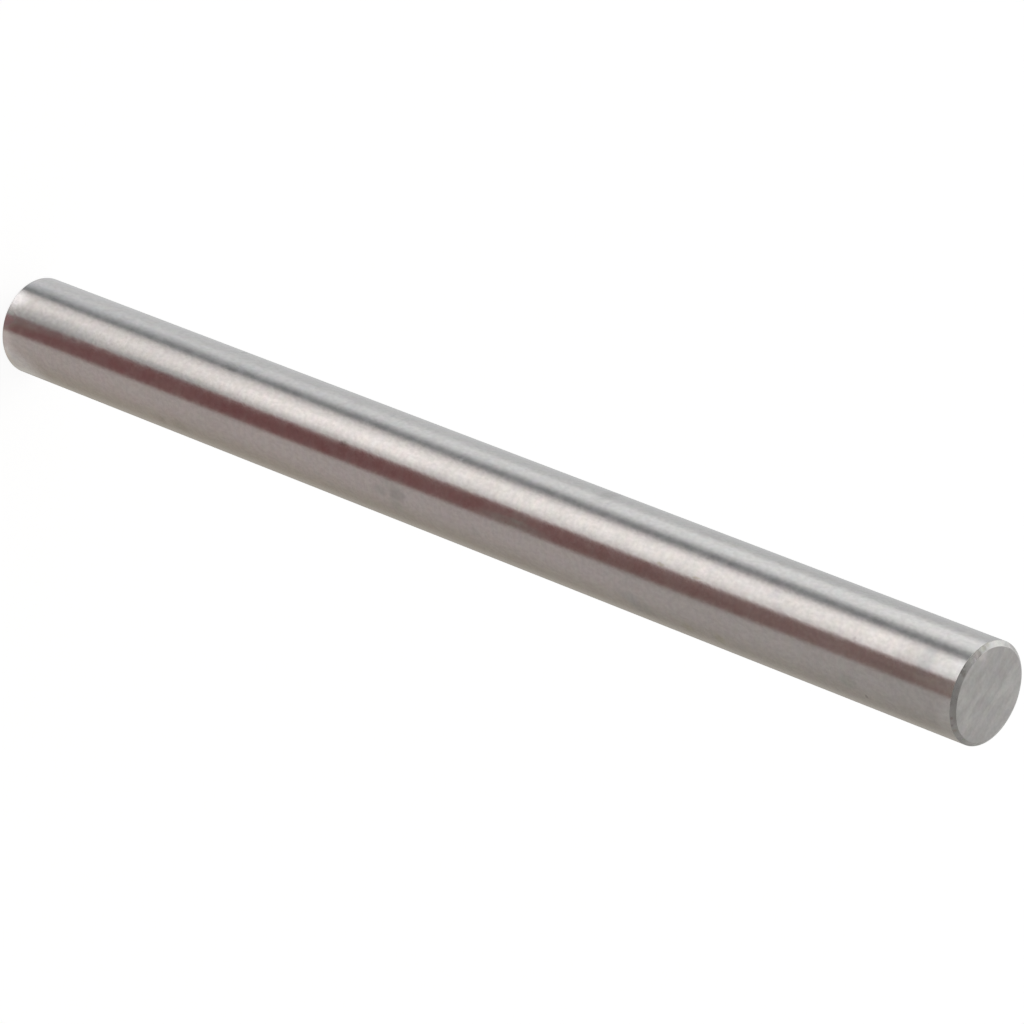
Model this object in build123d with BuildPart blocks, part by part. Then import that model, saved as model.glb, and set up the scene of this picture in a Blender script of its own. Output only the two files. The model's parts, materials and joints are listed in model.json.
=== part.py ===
from build123d import *
import os

# Plain pin gauge: one hardened steel pin, ground and lapped to size over its whole length, with a small
# flat bevel round each end so that it starts into a hole without catching.
# It stands on its base end. The origin is the middle of the base end's face, and +Z runs up the axis.
# All sizes are in millimetres.

gauge_diameter = 4.00
gauge_length = 50.80
bevel_width = 0.24  # how far a bevel reaches in from the gauging surface, across the end face
bevel_height = 0.13  # how far a bevel reaches along the pin

gauge_radius = gauge_diameter / 2
face_radius = gauge_radius - bevel_width  # the flat left on each end face

with BuildPart() as gauge_pin:
    # half of the lengthwise section, from the axis outwards
    with BuildSketch(Plane.XZ):
        with BuildLine():
            Polyline(
                (0, 0),
                (face_radius, 0),
                (gauge_radius, bevel_height),
                (gauge_radius, gauge_length - bevel_height),
                (face_radius, gauge_length),
                (0, gauge_length),
                close=True,
            )
        make_face()
    revolve(axis=Axis.Z)

gauge_pin.part.label = "gauge_pin"

os.makedirs("parts", exist_ok=True)
export_step(gauge_pin.part, "parts/gauge_pin.step")
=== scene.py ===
import json
import math

import bmesh
import bpy
from mathutils import Matrix, Vector, noise


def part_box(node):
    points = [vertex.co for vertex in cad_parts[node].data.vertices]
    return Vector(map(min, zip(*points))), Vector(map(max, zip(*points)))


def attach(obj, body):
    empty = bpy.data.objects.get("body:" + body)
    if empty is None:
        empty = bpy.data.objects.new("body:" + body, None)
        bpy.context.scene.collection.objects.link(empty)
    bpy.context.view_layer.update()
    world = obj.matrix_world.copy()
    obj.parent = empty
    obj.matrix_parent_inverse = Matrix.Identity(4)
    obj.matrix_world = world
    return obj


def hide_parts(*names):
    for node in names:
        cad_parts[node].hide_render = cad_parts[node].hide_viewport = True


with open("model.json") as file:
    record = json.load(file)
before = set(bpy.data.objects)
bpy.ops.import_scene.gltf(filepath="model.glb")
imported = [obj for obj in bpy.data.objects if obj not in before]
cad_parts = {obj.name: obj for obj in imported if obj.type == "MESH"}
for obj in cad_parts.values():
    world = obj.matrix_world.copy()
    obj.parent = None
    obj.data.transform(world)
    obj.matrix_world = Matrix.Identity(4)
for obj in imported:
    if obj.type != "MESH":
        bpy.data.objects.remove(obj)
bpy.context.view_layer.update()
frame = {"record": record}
print("frame loaded")

# Lengths are in metres, mostly written as so many mm. Azimuths go round the pin in degrees: 0 is the
# camera's side, and positive is towards +X.
mm = 0.001

pinLow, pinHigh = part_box("gauge_pin")
pinRadius = (pinHigh.x - pinLow.x) / 2
pinLength = pinHigh.z - pinLow.z
mounts = {mount["name"]: mount for mount in frame["record"]["mounts"]}
gaugedLength = mounts["gauging_surface"]["dims"]["length_mm"] * mm


def around(azimuth, elevation=0):  # the unit vector that way
    turn, rise = math.radians(azimuth), math.radians(elevation)
    return Vector((math.sin(turn) * math.cos(rise), -math.cos(turn) * math.cos(rise), math.sin(rise)))


# node helpers. inputs goes from a socket's name or number to a value, or to the output that feeds it

def addNode(tree, kind, inputs=None, **settings):
    made = tree.nodes.new(kind)
    for name, value in settings.items():
        setattr(made, name, value)
    for key, value in (inputs or {}).items():
        if isinstance(value, bpy.types.NodeSocket):
            tree.links.new(value, made.inputs[key])
        else:
            made.inputs[key].default_value = value
    return made


def calc(tree, operation, *values):
    return addNode(tree, "ShaderNodeMath", dict(enumerate(values)), operation=operation).outputs[0]


def ramp(tree, value, start, end, low=0.0, high=1.0, eased=True):
    # low up to start and high from end on
    inputs = {"Value": value, "From Min": start, "From Max": end, "To Min": low, "To Max": high}
    way = "SMOOTHSTEP" if eased else "LINEAR"
    return addNode(tree, "ShaderNodeMapRange", inputs, interpolation_type=way).outputs["Result"]


def mixColour(tree, share, first, second, way="MIX"):
    share, first, second = (x if isinstance(x, (float, int, bpy.types.NodeSocket)) else (*x, 1)
                            for x in (share, first, second))
    inputs = {"Factor": share, 6: first, 7: second}  # 6 and 7 are the colour sockets, A and B
    return addNode(tree, "ShaderNodeMix", inputs, data_type="RGBA", blend_type=way).outputs[2]


# The studio. The pin stands in an even white surround, which is all that the camera sees of it. What gives
# polished steel its stripes is what stands round it, so the surround also holds cards, which the camera
# doesn't see. Each card reaches from its azimuth to the next one's, and blends into the one before it over
# as many degrees as soft says, to either side. Azimuths and colours have three values, one for each of the
# elevations: low ones show near the foot of the pin, and high ones near its top.

studio = {
    "white": (1.0, 1.0, 1.0),
    "elevations": (-46.5, -41.8, -29.2),
    "cards": [
        {"from": (-180, -180, -180), "soft": 1,
         "colour": ((0.45, 0.45, 0.45), (0.45, 0.45, 0.45), (0.45, 0.45, 0.45))},
        {"from": (-170, -170, -170), "soft": 9,
         "colour": ((0.77, 0.78, 0.80), (0.69, 0.70, 0.71), (0.60, 0.61, 0.62))},
        {"from": (-106, -106, -114), "soft": 6,
         "colour": ((0.41, 0.44, 0.48), (0.88, 0.89, 0.91), (1.30, 1.31, 1.31))},
        {"from": (-90, -83, -60), "soft": 12,
         "colour": ((0.29, 0.31, 0.32), (0.155, 0.155, 0.165), (0.08, 0.10, 0.12))},
        {"from": (-72, -61.5, -34), "soft": 4.5,
         "colour": ((0.96, 0.92, 0.91), (1.18, 1.12, 1.10), (1.26, 1.19, 1.20))},
        {"from": (-46, -44, -40), "soft": 12,
         "colour": ((0.42, 0.39, 0.39), (1.91, 1.83, 1.79), (0.80, 0.78, 0.78))},
        {"from": (-36, -12.8, 2.5), "soft": 8,
         "colour": ((0.20, 0.19, 0.19), (0.64, 0.61, 0.595), (2.10, 2.03, 2.01))},
        {"from": (-5, -4, 2.6), "soft": 2.5,
         "colour": ((0.21, 0.12, 0.12), (0.185, 0.012, 0.02), (0.33, 0.34, 0.31))},
        {"from": (39, 39, 37), "soft": 5.5,
         "colour": ((0.52, 0.47, 0.44), (0.565, 0.468, 0.468), (0.31, 0.35, 0.33))},
        {"from": (84, 95, 105), "soft": 30,
         "colour": ((0.45, 0.40, 0.35), (0.39, 0.34, 0.29), (0.34, 0.33, 0.32))},
        {"from": (138, 138, 138), "soft": 16,
         "colour": ((0.52, 0.48, 0.43), (0.47, 0.43, 0.38), (0.46, 0.44, 0.41))},
        {"from": (169, 169, 169), "soft": 8,
         "colour": ((0.18, 0.16, 0.15), (0.18, 0.16, 0.15), (0.18, 0.16, 0.15))},
    ],
    # overhead, where the cards below have faded out, for the bevel and the end face
    "fadeStart": -28,
    "fadeEnd": -14,
    "overheadElevations": (8, 36, 72),
    "overhead": [
        {"from": (-180, -180, -180), "soft": 1,
         "colour": ((0.52, 0.52, 0.51), (0.56, 0.56, 0.55), (0.43, 0.43, 0.43))},
        {"from": (-173, -173, -173), "soft": 4,
         "colour": ((0.70, 0.70, 0.69), (0.56, 0.56, 0.55), (0.43, 0.43, 0.43))},
        {"from": (-157, -155, -150), "soft": 4,
         "colour": ((0.95, 0.95, 0.95), (1.32, 1.32, 1.32), (0.35, 0.34, 0.33))},
        {"from": (-125, -118, -108), "soft": 9,
         "colour": ((0.75, 0.74, 0.72), (0.55, 0.54, 0.53), (0.13, 0.125, 0.12))},
        {"from": (-30, -60, -80), "soft": 15,
         "colour": ((0.30, 0.29, 0.28), (0.30, 0.29, 0.28), (0.165, 0.155, 0.15))},
        {"from": (90, 80, 90), "soft": 10,
         "colour": ((0.38, 0.37, 0.36), (0.36, 0.35, 0.34), (0.27, 0.26, 0.25))},
        {"from": (150, 158, 150), "soft": 5,
         "colour": ((0.40, 0.40, 0.39), (0.52, 0.52, 0.51), (0.45, 0.45, 0.45))},
        {"from": (164.5, 170, 170), "soft": 4,
         "colour": ((0.70, 0.70, 0.69), (0.55, 0.55, 0.54), (0.45, 0.45, 0.45))},
    ],
    "floorSize": 1200 * mm,
    "floorGrey": 0.35,  # share of the light that the floor gives back, apart from its own glow
    "floorGlow": 0.865,
}

camera = {
    "aim": Vector((0.103 * mm, 0, 27.08 * mm)),  # the point that it looks at
    "distance": 244.42 * mm,
    "azimuth": -0.03,
    "elevation": 39.62,
    "roll": 111.25,
    "lens": 225.2,
    "sensorWidth": 36,
    "nearest": 1 * mm,  # what is nearer than this or farther than the next isn't drawn
    "farthest": 10000 * mm,
}


def standCards(tree, cards, azimuth, low, high):
    # low and high go from 0 to 1 between the first two elevations, and between the last two
    def alongColour(colours):
        return mixColour(tree, high, mixColour(tree, low, colours[0], colours[1]), colours[2])

    def alongEdge(edges):
        first = calc(tree, "MULTIPLY_ADD", low, edges[1] - edges[0], edges[0])
        return calc(tree, "MULTIPLY_ADD", high, edges[2] - edges[1], first)

    colour = alongColour(cards[0]["colour"])
    for card in cards[1:]:
        past = calc(tree, "SUBTRACT", azimuth, alongEdge(card["from"]))
        share = ramp(tree, past, -card["soft"], card["soft"])
        colour = mixColour(tree, share, colour, alongColour(card["colour"]))
    return colour


def makeSurround():
    world = bpy.data.worlds.new("studioSurround")
    bpy.context.scene.world = world
    world.use_nodes = True
    tree = world.node_tree
    tree.nodes.clear()
    direction = addNode(tree, "ShaderNodeTexCoord").outputs["Generated"]
    axes = addNode(tree, "ShaderNodeSeparateXYZ", {0: direction})
    backwards = calc(tree, "MULTIPLY", axes.outputs["Y"], -1.0)
    azimuth = calc(tree, "DEGREES", calc(tree, "ARCTAN2", axes.outputs["X"], backwards))
    elevation = calc(tree, "DEGREES", calc(tree, "ARCSINE", axes.outputs["Z"]))
    bottom, middle, top = studio["elevations"]
    low = ramp(tree, elevation, bottom, middle, eased=False)
    high = ramp(tree, elevation, middle, top, eased=False)
    below = standCards(tree, studio["cards"], azimuth, low, high)
    bottom, middle, top = studio["overheadElevations"]
    low = ramp(tree, elevation, bottom, middle, eased=False)
    high = ramp(tree, elevation, middle, top, eased=False)
    above = standCards(tree, studio["overhead"], azimuth, low, high)
    fade = ramp(tree, elevation, studio["fadeStart"], studio["fadeEnd"])
    cards = mixColour(tree, fade, below, above)
    seen = addNode(tree, "ShaderNodeLightPath").outputs["Is Camera Ray"]
    colour = mixColour(tree, seen, cards, studio["white"])
    background = addNode(tree, "ShaderNodeBackground", {"Color": colour, "Strength": 1.0})
    addNode(tree, "ShaderNodeOutputWorld", {"Surface": background.outputs[0]})


def makeFloor():
    # A matt floor that also glows a little for the camera alone. Together they come to white, so that the
    # floor meets the surround without a line and keeps the pin's shadow. The pin mirrors the surround and
    # its cards through it.
    material = bpy.data.materials.new("floorWhite")
    material.use_nodes = True
    tree = material.node_tree
    tree.nodes.clear()
    grey = studio["floorGrey"]
    matt = addNode(tree, "ShaderNodeBsdfDiffuse", {"Color": (grey, grey, grey, 1)})
    seen = addNode(tree, "ShaderNodeLightPath").outputs["Is Camera Ray"]
    strength = calc(tree, "MULTIPLY", seen, studio["floorGlow"])
    glow = addNode(tree, "ShaderNodeEmission", {"Color": (*studio["white"], 1), "Strength": strength})
    both = addNode(tree, "ShaderNodeAddShader", {0: matt.outputs[0], 1: glow.outputs[0]})
    addNode(tree, "ShaderNodeOutputMaterial", {"Surface": both.outputs[0]})

    mesh = bpy.data.meshes.new("studioFloor")
    shape = bmesh.new()
    half = studio["floorSize"] / 2
    corners = [shape.verts.new((x * half, y * half, 0)) for x, y in ((-1, -1), (1, -1), (1, 1), (-1, 1))]
    shape.faces.new(corners)
    shape.to_mesh(mesh)
    shape.free()
    mesh.materials.append(material)
    floor = bpy.data.objects.new("studioFloor", mesh)
    bpy.context.scene.collection.objects.link(floor)
    floor.visible_glossy = False


def placeCamera():
    data = bpy.data.cameras.new("photoCamera")
    data.lens = camera["lens"]
    data.sensor_width = camera["sensorWidth"]
    data.clip_start, data.clip_end = camera["nearest"], camera["farthest"]
    view = bpy.data.objects.new("photoCamera", data)
    bpy.context.scene.collection.objects.link(view)
    back = around(camera["azimuth"], camera["elevation"])
    right = Vector((0, 0, 1)).cross(back).normalized()
    up = back.cross(right)
    turned = Matrix((right, up, back)).transposed() @ Matrix.Rotation(math.radians(camera["roll"]), 3, "Z")
    place = camera["aim"] + back * camera["distance"]
    view.matrix_world = Matrix.Translation(place) @ turned.to_4x4()
    bpy.context.scene.camera = view


makeSurround()
makeFloor()
placeCamera()
bpy.context.scene.view_settings.view_transform = "Standard"
print("studio and camera ready")


# The form of the ends. The plain solid has even bevels. These were cut by hand, so they are wider and lower
# to some sides, and knocked here and there.

pin = {
    "segments": 512,  # round the axis
    "bevelHeight": (pinLength - gaugedLength) / 2,  # all round as a mean, and along the pin
    "bevels": {  # each as cut: its width at some azimuths, and the azimuth where it is that share lower
        "top": {"widths": ((-115, 0.157 * mm), (-60, 0.220 * mm), (-25, 0.252 * mm), (10, 0.235 * mm),
                           (65, 0.160 * mm), (110, 0.155 * mm), (155, 0.270 * mm), (180, 0.253 * mm)),
                "lowAzimuth": -25, "lower": 0.18, "noiseHeight": 3},
        "base": {"widths": ((-60, 0.154 * mm), (120, 0.286 * mm)),
                 "lowAzimuth": -60, "lower": 0.35, "noiseHeight": 8},
    },
    "bevelWobble": 0.05,  # how unevenly they were cut, by noise taken round a ring at noiseHeight
    "wobbleRing": 2,  # the radius of that ring, so how quickly the wobble changes round the pin
    "edgeRound": 0.014 * mm,  # how far their edges are broken
    "faceRows": (0.10, 0.25, 0.45, 0.65, 0.82, 0.93, 0.98),  # rings on an end face, as shares of its radius
    "bevelRows": 14,
    "endRows": (0.02 * mm, 0.06 * mm, 0.12 * mm, 0.25 * mm, 0.5 * mm),  # close rings beside each bevel
    "sideRows": 40,
    "mapMargin": 0.01,  # these are shares of the UV map
    "sideMapHeight": 0.74,
    "faceMapRadius": 0.11,
    "baseMapMiddle": 0.25,  # how far across the map each end face's middle is
    "topMapMiddle": 0.75,
}

# knocks on the top bevel, placed where darker spots on it are
nicks = [
    {"at": (-13, 0.6), "size": 0.110 * mm, "depth": 0.006 * mm},
    {"at": (-29, 0.4), "size": 0.120 * mm, "depth": 0.004 * mm},
    {"at": (-40, 0.4), "size": 0.160 * mm, "depth": 0.006 * mm},
    {"at": (-50, 0.6), "size": 0.150 * mm, "depth": 0.006 * mm},
]


def widthAt(widths, azimuth):
    # the width there, eased from each given azimuth to the next one all the way round
    start, width = widths[0]
    azimuth = (azimuth - start) % 360 + start
    for end, following in (*widths[1:], (start + 360, width)):
        if azimuth <= end:
            share = (1 - math.cos(math.pi * (azimuth - start) / (end - start))) / 2
            return width + (following - width) * share
        start, width = end, following


def bevelCorners(azimuth, end):
    # where one bevel meets its end face and the gauging surface, as (radius, distance from the end face)
    bevel = pin["bevels"][end]
    place = around(azimuth) * pin["wobbleRing"] + Vector((0, 0, bevel["noiseHeight"]))
    wobble = pin["bevelWobble"] * noise.noise(place)
    lower = bevel["lower"] * math.cos(math.radians(azimuth - bevel["lowAzimuth"]))
    width = widthAt(bevel["widths"], azimuth) * (1 + wobble)
    height = pin["bevelHeight"] * (1 - lower + wobble)
    return Vector((pinRadius - width, 0)), Vector((pinRadius, height))


def bevelPlace(azimuth, across):
    # the point that far across the top bevel
    faceEdge, sideEdge = bevelCorners(azimuth, "top")
    radius, down = faceEdge.lerp(sideEdge, across)
    return around(azimuth) * radius + Vector((0, 0, pinLength - down))


# The finishes. Their coordinates are the object's own, in mm.

lapped = {
    "steel": (0.62, 0.605, 0.59),
    "grainSize": (0.15, 0.15, 0.22),  # mm
    "grainShade": 0.042,  # how much lighter and darker the grain is
    "grainHeight": 0.0016,  # mm
    "patchSize": 0.6,
    "patchShade": 0.014,
    "cloudSize": 3.0,
    "cloudShade": 0.015,
    "ringSize": (30, 30, 0.12),  # mm: so flat that the noise makes rings round the pin
    "ringShade": 0.012,
    "tintSize": 0.4,
    "tintShade": 0.012,
    "roughness": 0.203,
    "roughnessSpread": 0.02,
    "acrossRings": 0.59,  # how much more the light spreads to one side than to the other
    "spreadTurn": 0.25,  # a quarter turn, which makes that side the one along the pin
}

# stains on the gauging surface, and painted highlights, sheen and shade on the bands that it mirrors:
# height up the pin in mm and azimuth, reach up and down and to each side in mm, the share of red, green and
# blue that they leave, and for some how much rougher they are
stainsAndPaintedLight = [
    # painted highlight on the edge at the foot
    {"at": (0.1, -21), "reach": (1.0, 0.58), "keeps": (1.30, 1.33, 1.37)},
    # painted sheen: these three make the foot's edge lighter
    {"at": (0.0, 10), "reach": (0.75, 3.5), "keeps": (1.07, 1.07, 1.07)},
    {"at": (0.0, 34), "reach": (1.0, 0.85), "keeps": (1.22, 1.22, 1.23)},
    {"at": (0.0, 67), "reach": (2.8, 1.2), "keeps": (1.46, 1.55, 1.70)},
    # painted reflection: these three make the mirrored brown band greyer and lighter at the foot, and the
    # first two are also a little rougher
    {"at": (0.0, 3), "reach": (7.0, 0.27), "keeps": (1.07, 1.24, 1.24), "rougher": 0.01},
    {"at": (0.1, 8), "reach": (2.8, 0.36), "keeps": (1.05, 1.20, 1.16), "rougher": 0.01},
    {"at": (0.0, 8), "reach": (1.0, 0.44), "keeps": (1.22, 1.54, 1.47)},
    # painted shade: these two darken the mirrored bands along the foot
    {"at": (3.0, -8), "reach": (3.6, 0.48), "keeps": (0.85, 0.87, 0.88)},
    {"at": (1.2, -46), "reach": (3.2, 0.14), "keeps": (0.95, 0.95, 0.95)},
    {"at": (3.8, 68), "reach": (0.35, 0.3), "keeps": (0.94, 0.94, 0.94)},
    # painted shade: long stripes along the pin that darken edges of the mirrored bands
    {"at": (9.0, -43), "reach": (5.0, 0.22), "keeps": (0.93, 0.93, 0.93)},
    {"at": (9.5, -3), "reach": (4.5, 0.24), "keeps": (0.85, 0.87, 0.88)},
    {"at": (9.3, 60), "reach": (0.35, 0.35), "keeps": (0.92, 0.92, 0.90)},
    {"at": (10.4, 58), "reach": (0.6, 0.45), "keeps": (0.89, 0.89, 0.88)},
    {"at": (11.7, -77), "reach": (0.14, 0.28), "keeps": (0.72, 0.72, 0.72)},
    {"at": (12.5, -34), "reach": (0.35, 0.12), "keeps": (0.84, 0.84, 0.84)},
    # painted reflection: long stripes along the pin, the first making the mirrored brown band darker and
    # redder, the second the bright band lighter
    {"at": (17.5, 10), "reach": (7.5, 0.36), "keeps": (0.93, 0.87, 0.88)},
    {"at": (18.0, -13), "reach": (8.5, 0.34), "keeps": (1.09, 1.08, 1.085)},
    {"at": (19.6, 0), "reach": (0.34, 0.18), "keeps": (0.72, 0.71, 0.70)},
    {"at": (21.9, 35), "reach": (0.50, 0.30), "keeps": (0.85, 0.87, 0.87)},
    {"at": (22.8, 33), "reach": (0.60, 0.32), "keeps": (0.81, 0.83, 0.83), "rougher": 0.01},
    {"at": (22.4, 24), "reach": (0.80, 0.28), "keeps": (0.93, 0.95, 0.94)},
    {"at": (22.7, 47), "reach": (0.55, 0.6), "keeps": (0.91, 0.93, 0.92)},
    {"at": (25.2, -33), "reach": (0.12, 0.12), "keeps": (1.25, 1.25, 1.25)},
    {"at": (27.0, 41), "reach": (0.25, 0.25), "keeps": (0.94, 0.94, 0.94)},
    # a rougher smudge, whose colour is also painted to make the mirrored brown band greyer there
    {"at": (28.9, 14), "reach": (2.2, 0.25), "keeps": (1.02, 1.23, 1.20), "rougher": 0.01},
    {"at": (29.1, 7), "reach": (0.7, 0.3), "keeps": (1.00, 1.12, 1.10), "rougher": 0.01},
    {"at": (31.0, -9), "reach": (0.14, 0.14), "keeps": (0.92, 0.92, 0.92)},
    {"at": (32.3, -9), "reach": (0.14, 0.14), "keeps": (0.92, 0.92, 0.92)},
    {"at": (31.9, -70), "reach": (0.45, 1.3), "keeps": (0.87, 0.87, 0.87)},
    {"at": (32.4, -50), "reach": (0.24, 0.25), "keeps": (0.92, 0.92, 0.92)},
    {"at": (35.0, 48), "reach": (0.6, 0.35), "keeps": (0.91, 0.93, 0.95)},
    {"at": (35.6, 58), "reach": (1.0, 0.45), "keeps": (0.90, 0.92, 0.93)},
    {"at": (36.3, -3), "reach": (0.28, 0.09), "keeps": (0.84, 0.82, 0.74)},
    {"at": (38.1, -3), "reach": (0.28, 0.09), "keeps": (0.84, 0.82, 0.74)},
    # painted shade: a long stripe along the pin that darkens the mirrored brown band
    {"at": (37.0, 15), "reach": (9.0, 0.36), "keeps": (0.91, 0.90, 0.89)},
    {"at": (37.8, 60), "reach": (0.45, 0.3), "keeps": (0.94, 0.94, 0.88)},
    {"at": (39.4, 58), "reach": (0.35, 0.35), "keeps": (0.93, 0.94, 0.86)},
    {"at": (41.7, -17), "reach": (0.4, 0.28), "keeps": (0.89, 0.91, 0.93)},
    {"at": (45.8, -5), "reach": (0.1, 0.1), "keeps": (0.82, 0.82, 0.82)},
    {"at": (45.8, 45), "reach": (0.6, 0.45), "keeps": (0.90, 0.93, 0.91)},
    {"at": (46.6, 57), "reach": (0.1, 0.1), "keeps": (0.68, 0.68, 0.68)},
    # painted highlight: lightens the bright band near the top
    {"at": (47.0, -9), "reach": (1.4, 0.75), "keeps": (1.08, 1.08, 1.08)},
    {"at": (48.0, 14), "reach": (2.0, 0.25), "keeps": (0.92, 0.91, 0.91)},
    {"at": (49.1, -10), "reach": (0.55, 0.8), "keeps": (0.85, 0.88, 0.90)},
    # painted sheen: these four make the top end's edge lighter, with a painted highlight in the second
    {"at": (50.6, 55), "reach": (0.8, 1.9), "keeps": (1.11, 1.13, 1.14)},
    {"at": (50.6, -20), "reach": (0.8, 0.25), "keeps": (1.05, 1.05, 1.06)},
    {"at": (50.8, -10), "reach": (1.8, 0.9), "keeps": (1.00, 1.03, 1.045)},
    {"at": (50.6, 9), "reach": (2.8, 0.27), "keeps": (1.11, 1.21, 1.19)},
    {"at": (50.7, -84), "reach": (0.8, 0.5), "keeps": (0.86, 0.86, 0.86)},
]
markWander = {"size": 0.35, "reach": 0.12, "largestMark": 0.6}  # mm: how the edges of the small stains and painted spots bend


noiseSwing = 0.15  # how far noise mostly strays from its mean of a half
widestSwing = 0.2  # and how far it strays at its widest
spotCore = 0.35  # share of a spot's reach that has its full strength


def newFinish(name):
    material = bpy.data.materials.new(name)
    material.use_nodes = True
    tree = material.node_tree
    tree.nodes.clear()
    place = addNode(tree, "ShaderNodeTexCoord").outputs["Object"]
    scaled = addNode(tree, "ShaderNodeMapping", {"Vector": place, "Scale": (1 / mm, 1 / mm, 1 / mm)})
    return material, tree, scaled.outputs[0]


def speckle(tree, place, size, detail=2.0, roughness=0.5, turn=0.0, offset=(0, 0, 0)):
    # a noise node with marks of the given size along x, y and z after a turn about z. Each noise has an
    # offset of its own, so that no two of them line up
    turned = place
    if turn:
        turned = addNode(tree, "ShaderNodeMapping", {"Vector": place, "Rotation": (0, 0, turn)}).outputs[0]
    if isinstance(size, (int, float)):
        size = (size, size, size)
    scaled = addNode(tree, "ShaderNodeMapping", {
        "Vector": turned, "Location": offset, "Scale": [1 / s for s in size]})
    inputs = {"Vector": scaled.outputs[0], "Scale": 1.0, "Detail": detail, "Roughness": roughness}
    return addNode(tree, "ShaderNodeTexNoise", inputs, noise_dimensions="3D")


def grain(tree, place, size, **settings):
    return speckle(tree, place, size, **settings).outputs[0]  # noise from 0 to 1


def shade(tree, amount, value):
    # turns noise into a factor of 1 ± amount
    return ramp(tree, value, 0.5 - noiseSwing, 0.5 + noiseSwing, 1 - amount, 1 + amount, eased=False)


def unevenRoughness(tree, finish, value):
    # turns noise into the finish's roughness, a little more and a little less
    least, most = (finish["roughness"] + way * finish["roughnessSpread"] for way in (-1, 1))
    return ramp(tree, value, 0.5 - widestSwing, 0.5 + widestSwing, least, most, eased=False)


def tint(tree, amount, place, size):
    # turns three noises at once into factors of about 1 ± amount for red, green and blue
    colour = speckle(tree, place, size, offset=(11, 4, 6)).outputs[1]
    gain = amount / noiseSwing
    inputs = {0: colour, 1: (gain, gain, gain), 2: (1 - gain / 2, 1 - gain / 2, 1 - gain / 2)}
    return addNode(tree, "ShaderNodeVectorMath", inputs, operation="MULTIPLY_ADD").outputs[0]


def darken(tree, colour, tints, *factors):
    factor = factors[0]
    for other in factors[1:]:
        factor = calc(tree, "MULTIPLY", factor, other)
    grey = addNode(tree, "ShaderNodeCombineColor", {0: factor, 1: factor, 2: factor}).outputs[0]
    return mixColour(tree, 1.0, mixColour(tree, 1.0, colour, grey, "MULTIPLY"), tints, "MULTIPLY")


def wander(tree, place, size, reach):
    # the same place, moved a little by noise, so that what is drawn there gets ragged edges
    colour = speckle(tree, place, size, offset=(3, 8, 5)).outputs[1]
    inputs = {0: colour, 1: (2 * reach, 2 * reach, 2 * reach), 2: (-reach, -reach, -reach)}
    moved = addNode(tree, "ShaderNodeVectorMath", inputs, operation="MULTIPLY_ADD").outputs[0]
    return addNode(tree, "ShaderNodeVectorMath", {0: place, 1: moved}, operation="ADD").outputs[0]


def spot(tree, place, middle, reach):
    # 1 in the middle of a spot, and 0 outside it
    across = addNode(tree, "ShaderNodeMapping", {
        "Vector": place, "Location": middle, "Scale": reach}, vector_type="TEXTURE").outputs[0]
    distance = addNode(tree, "ShaderNodeVectorMath", {0: across}, operation="LENGTH").outputs["Value"]
    return ramp(tree, distance, spotCore, 1.0, 1.0, 0.0)


def finishShader(tree, colour, roughness, bump, anisotropy=0.0, turn=0.0):
    tangent = addNode(tree, "ShaderNodeTangent", direction_type="RADIAL", axis="Z").outputs[0]
    shader = addNode(tree, "ShaderNodeBsdfPrincipled", {
        "Base Color": colour, "Metallic": 1.0, "Roughness": roughness, "Normal": bump,
        "Anisotropic": anisotropy, "Anisotropic Rotation": turn, "Tangent": tangent})
    addNode(tree, "ShaderNodeOutputMaterial", {"Surface": shader.outputs[0]})


def makeLapped():
    material, tree, place = newFinish("lappedSteel")
    fine = grain(tree, place, lapped["grainSize"], detail=1.5)
    patch = grain(tree, place, lapped["patchSize"], offset=(4, 9, 2))
    cloud = grain(tree, place, lapped["cloudSize"], offset=(7, 3, 1))
    ring = grain(tree, place, lapped["ringSize"], detail=3, roughness=0.7)
    tints = tint(tree, lapped["tintShade"], place, lapped["tintSize"])
    colour = darken(tree, lapped["steel"], tints, shade(tree, lapped["grainShade"], fine),
                    shade(tree, lapped["patchShade"], patch), shade(tree, lapped["cloudShade"], cloud),
                    shade(tree, lapped["ringShade"], ring))
    roughness = unevenRoughness(tree, lapped, patch)
    ragged = wander(tree, place, markWander["size"], markWander["reach"])
    for mark in stainsAndPaintedLight:
        height, azimuth = mark["at"]
        tall, wide = mark["reach"]
        middle = around(azimuth) * (pinRadius / mm) + Vector((0, 0, height))
        where = ragged if max(tall, wide) <= markWander["largestMark"] else place
        mask = spot(tree, where, middle, (wide, wide, tall))
        colour = mixColour(tree, mask, colour, mark["keeps"], "MULTIPLY")
        if "rougher" in mark:
            roughness = calc(tree, "MULTIPLY_ADD", mask, mark["rougher"], roughness)
    bump = addNode(tree, "ShaderNodeBump", {
        "Height": fine, "Strength": 1.0, "Distance": lapped["grainHeight"] * mm}).outputs[0]
    finishShader(tree, colour, roughness, bump, lapped["acrossRings"], lapped["spreadTurn"])
    return material


ground = {
    "steel": (0.62, 0.604, 0.594),
    "streakAzimuth": 70,
    "streakSize": (1.5, 0.36, 50),  # mm: along the streaks, across them and into the face
    "streakShade": 0.08,
    "cloudSize": 0.6,
    "cloudShade": 0.045,
    "grainSize": 0.13,
    "grainShade": 0.04,
    "tintSize": 0.45,
    "tintShade": 0.013,
    "roughness": 0.36,
    "roughnessSpread": 0.04,
    "streakHeight": 0.0012,  # mm
    "acrossStreaks": 0.4,  # how much more the light spreads across them
    "raggedSize": 0.5,  # of the bends in the marks' edges
    "raggedReach": 0.2,
    "markDepth": 1000,  # mm, so that a mark is the same wherever the face is
}


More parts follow.
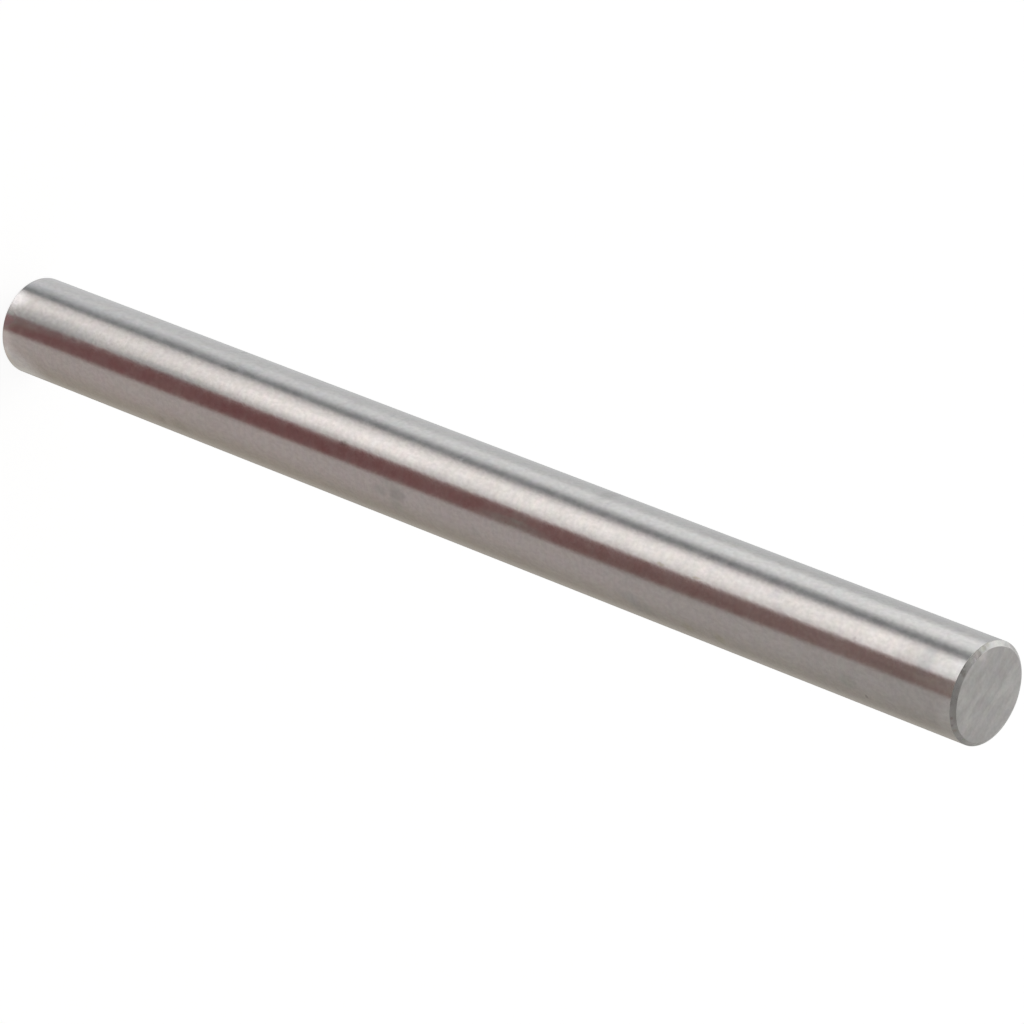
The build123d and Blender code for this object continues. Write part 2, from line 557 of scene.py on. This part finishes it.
# faint marks on the end faces, broad lighter and darker patches, and a painted highlight along their edge:
# azimuth and distance from the axis in mm, reach along the streaks and across them in mm, and the share of
# red, green and blue that they leave
faceMarksAndPaintedLight = [
    {"at": (24, 1.5), "reach": (1.9, 0.95), "keeps": (0.90, 0.90, 0.89)},
    {"at": (54, 0.69), "reach": (0.75, 0.2), "keeps": (0.94, 0.93, 0.93)},
    {"at": (75, 1.5), "reach": (0.4, 0.3), "keeps": (1.04, 1.03, 1.02)},
    {"at": (-62, 1.3), "reach": (1.0, 1.2), "keeps": (1.06, 1.06, 1.06)},
    # painted highlight: a light fringe along the end face's edge
    {"at": (-45, 1.74), "reach": (0.35, 0.35), "keeps": (1.20, 1.19, 1.18)},
]


def makeGround():
    material, tree, place = newFinish("groundEnd")
    turn = math.radians(90 - ground["streakAzimuth"])
    streaks = grain(tree, place, ground["streakSize"], turn=turn)
    cloud = grain(tree, place, ground["cloudSize"], detail=3, offset=(7, 1, 4))
    fine = grain(tree, place, ground["grainSize"])
    tints = tint(tree, ground["tintShade"], place, ground["tintSize"])
    colour = darken(tree, ground["steel"], tints, shade(tree, ground["streakShade"], streaks),
                    shade(tree, ground["cloudShade"], cloud), shade(tree, ground["grainShade"], fine))
    ragged = wander(tree, place, ground["raggedSize"], ground["raggedReach"])
    turned = addNode(tree, "ShaderNodeMapping", {"Vector": ragged, "Rotation": (0, 0, turn)}).outputs[0]
    for mark in faceMarksAndPaintedLight:
        azimuth, radius = mark["at"]
        middle = Matrix.Rotation(turn, 3, "Z") @ (around(azimuth) * radius)
        alongStreaks, acrossStreaks = mark["reach"]
        mask = spot(tree, turned, middle, (alongStreaks, acrossStreaks, ground["markDepth"]))
        colour = mixColour(tree, mask, colour, mark["keeps"], "MULTIPLY")
    roughness = unevenRoughness(tree, ground, streaks)
    bump = addNode(tree, "ShaderNodeBump", {
        "Height": streaks, "Strength": 1.0, "Distance": ground["streakHeight"] * mm}).outputs[0]
    finishShader(tree, colour, roughness, bump, ground["acrossStreaks"])
    return material


bevelled = {
    "steel": (0.60, 0.592, 0.58),
    "blotchSize": 0.3,
    "blotchShade": 0.07,
    "grainSize": 0.1,
    "grainShade": 0.04,
    "grainHeight": 0.001,  # mm
    "tintSize": 0.3,
    "tintShade": 0.015,
    "roughness": 0.30,
    "roughnessSpread": 0.05,
    "raggedSize": 0.12,  # of the bends in the edges of the bevel's spots
    "raggedReach": 0.05,
}

# spots on the top bevel, darker ones and some of painted light by its edge with the end face: azimuth and
# how far across it, from 0 at the end face to 1 at the gauging surface, size in mm, and the share of red,
# green and blue that it leaves
bevelSpotsAndPaintedLight = [
    {"at": (-103, 0.85), "size": 0.36, "keeps": (0.80, 0.80, 0.80)},
    {"at": (-89, -0.3), "size": 0.30, "keeps": (0.83, 0.83, 0.83)},
    # painted highlight near the end face's edge
    {"at": (-31, 0.25), "size": 0.12, "keeps": (1.26, 1.26, 1.27)},
    {"at": (-18, 0.9), "size": 0.08, "keeps": (0.78, 0.76, 0.75)},
    {"at": (-12, 0.85), "size": 0.12, "keeps": (0.62, 0.60, 0.59)},
    {"at": (-10, 0.35), "size": 0.11, "keeps": (0.80, 0.77, 0.76)},
    {"at": (-39, 0.5), "size": 0.24, "keeps": (0.91, 0.88, 0.86)},
    {"at": (-50, 0.6), "size": 0.16, "keeps": (0.90, 0.90, 0.83)},
    {"at": (-57, 0.8), "size": 0.13, "keeps": (0.88, 0.88, 0.84)},
    {"at": (41, 0.85), "size": 0.08, "keeps": (0.84, 0.76, 0.75)},
    {"at": (50, 0.9), "size": 0.09, "keeps": (0.82, 0.80, 0.80)},
    {"at": (58, 0.7), "size": 0.11, "keeps": (0.92, 0.84, 0.83)},
    {"at": (78, 0.1), "size": 0.08, "keeps": (0.90, 1.00, 0.86)},
    # painted light: these two lighten the bevel by its edge with the end face
    {"at": (90, -0.3), "size": 0.30, "keeps": (1.22, 1.21, 1.20)},
    {"at": (103, -0.3), "size": 0.30, "keeps": (1.20, 1.19, 1.18)},
    {"at": (110, 0.9), "size": 0.16, "keeps": (0.86, 0.85, 0.85)},
]


def makeBevelled():
    material, tree, place = newFinish("bevelledSteel")
    blotch = grain(tree, place, bevelled["blotchSize"], detail=3)
    fine = grain(tree, place, bevelled["grainSize"], roughness=0.6)
    tints = tint(tree, bevelled["tintShade"], place, bevelled["tintSize"])
    colour = darken(tree, bevelled["steel"], tints, shade(tree, bevelled["blotchShade"], blotch),
                    shade(tree, bevelled["grainShade"], fine))
    ragged = wander(tree, place, bevelled["raggedSize"], bevelled["raggedReach"])
    for bevelSpot in bevelSpotsAndPaintedLight:
        azimuth, across = bevelSpot["at"]
        middle = bevelPlace(azimuth, across) / mm
        mask = spot(tree, ragged, middle, (bevelSpot["size"], bevelSpot["size"], bevelSpot["size"]))
        colour = mixColour(tree, mask, colour, bevelSpot["keeps"], "MULTIPLY")
    roughness = unevenRoughness(tree, bevelled, blotch)
    bump = addNode(tree, "ShaderNodeBump", {
        "Height": fine, "Strength": 1.0, "Distance": bevelled["grainHeight"] * mm}).outputs[0]
    finishShader(tree, colour, roughness, bump)
    return material


finishes = {"side": makeLapped(), "face": makeGround(), "bevel": makeBevelled()}
print("finishes ready")


# the pin's skin: one closed skin over the whole pin, lathed ring by ring

def brokenCorner(before, corner, after, steps=3):
    # the points of a small curve that replaces a corner of the outline
    start = corner + (before - corner).normalized() * pin["edgeRound"]
    end = corner + (after - corner).normalized() * pin["edgeRound"]
    points = []
    for step in range(steps + 1):
        t = step / steps
        points.append(start * (1 - t) ** 2 + corner * (2 * t * (1 - t)) + end * t ** 2)
    return points


def endOutline(azimuth, end):
    # half of the section at one end, from the face's middle outwards: (point, finish) with each point as
    # (radius, distance from the end face)
    faceEdge, sideEdge = bevelCorners(azimuth, end)
    faceMiddle, sideMiddle = Vector((0, 0)), Vector((pinRadius, pinLength / 2))
    points = [(Vector((faceEdge.x * share, 0)), "face") for share in pin["faceRows"]]
    points += [(point, "face") for point in brokenCorner(faceMiddle, faceEdge, sideEdge)]
    for row in range(1, pin["bevelRows"]):
        points.append((faceEdge.lerp(sideEdge, row / pin["bevelRows"]), "bevel"))
    points += [(point, "bevel") for point in brokenCorner(faceEdge, sideEdge, sideMiddle)]
    points += [(Vector((pinRadius, sideEdge.y + step)), "side") for step in pin["endRows"]]
    return points


def dentDepth(place):
    depth = 0
    for nick in nicks:
        away = (place - bevelPlace(*nick["at"])).length / nick["size"]
        if away < 1:
            depth = max(depth, nick["depth"] * (1 - away ** 2) ** 2)
    return depth


def section(azimuth):
    # the whole section from base to top, as (radius, height, finish)
    base, top = endOutline(azimuth, "base"), endOutline(azimuth, "top")
    rows = [(point.x, point.y, finish) for point, finish in base]
    low, high = rows[-1][1], pinLength - top[-1][0].y
    for row in range(1, pin["sideRows"]):
        rows.append((pinRadius, low + (high - low) * row / pin["sideRows"], "side"))
    rows += [(point.x, pinLength - point.y, finish) for point, finish in reversed(top)]
    return rows


def mapPlace(place, share, finish):
    # the gauging surface is a wide strip of the UV map, and the ends with their bevels are two discs above
    margin, radius = pin["mapMargin"], pin["faceMapRadius"]
    if finish == "side":
        return margin + (1 - 2 * margin) * share, margin + pin["sideMapHeight"] * place.z / pinLength
    middle = pin["topMapMiddle"] if place.z > pinLength / 2 else pin["baseMapMiddle"]
    scale = radius / pinRadius
    return middle + place.x * scale, 1 - 2 * margin - radius + place.y * scale


def makePin():
    shape = bmesh.new()
    uvLayer = shape.loops.layers.uv.new("OFBake")
    names = list(finishes)
    count = pin["segments"]
    inwardTilt = pin["bevelHeight"] / pin["bevels"]["top"]["widths"][0][1]  # square to the bevel

    def addFace(corners, name, segment):
        face = shape.faces.new([vertex for vertex, step in corners])
        face.material_index = names.index(name)
        face.smooth = True
        for loop, (vertex, step) in zip(face.loops, corners):
            loop[uvLayer].uv = mapPlace(vertex.co, (segment + step) / count, name)

    columns = []
    for segment in range(count):
        outward = around(360 * segment / count)
        inward = (-outward * inwardTilt - Vector((0, 0, 1))).normalized()
        rows = section(360 * segment / count)
        column = []
        for radius, height, name in rows:
            place = outward * radius + Vector((0, 0, height))
            if name == "bevel" and height > pinLength / 2:
                place += inward * dentDepth(place)
            column.append(shape.verts.new(place))
        columns.append(column)
    finish = [name for radius, height, name in section(0)]
    lowMiddle = shape.verts.new((0, 0, 0))
    highMiddle = shape.verts.new((0, 0, pinLength))

    for segment, column in enumerate(columns):
        following = columns[(segment + 1) % count]
        addFace(((lowMiddle, 0), (following[0], 1), (column[0], 0)), "face", segment)
        for row in range(len(column) - 1):
            name = "bevel" if "bevel" in finish[row:row + 2] else finish[row]
            addFace(((column[row], 0), (following[row], 1), (following[row + 1], 1), (column[row + 1], 0)),
                    name, segment)
        addFace(((highMiddle, 0), (column[-1], 0), (following[-1], 1)), "face", segment)

    mesh = bpy.data.meshes.new("gaugePin")
    shape.to_mesh(mesh)
    shape.free()
    for name in names:
        mesh.materials.append(finishes[name])
    piece = bpy.data.objects.new("gaugePin", mesh)
    bpy.context.scene.collection.objects.link(piece)
    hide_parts("gauge_pin")
    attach(piece, "root")


makePin()
print("pin ready")
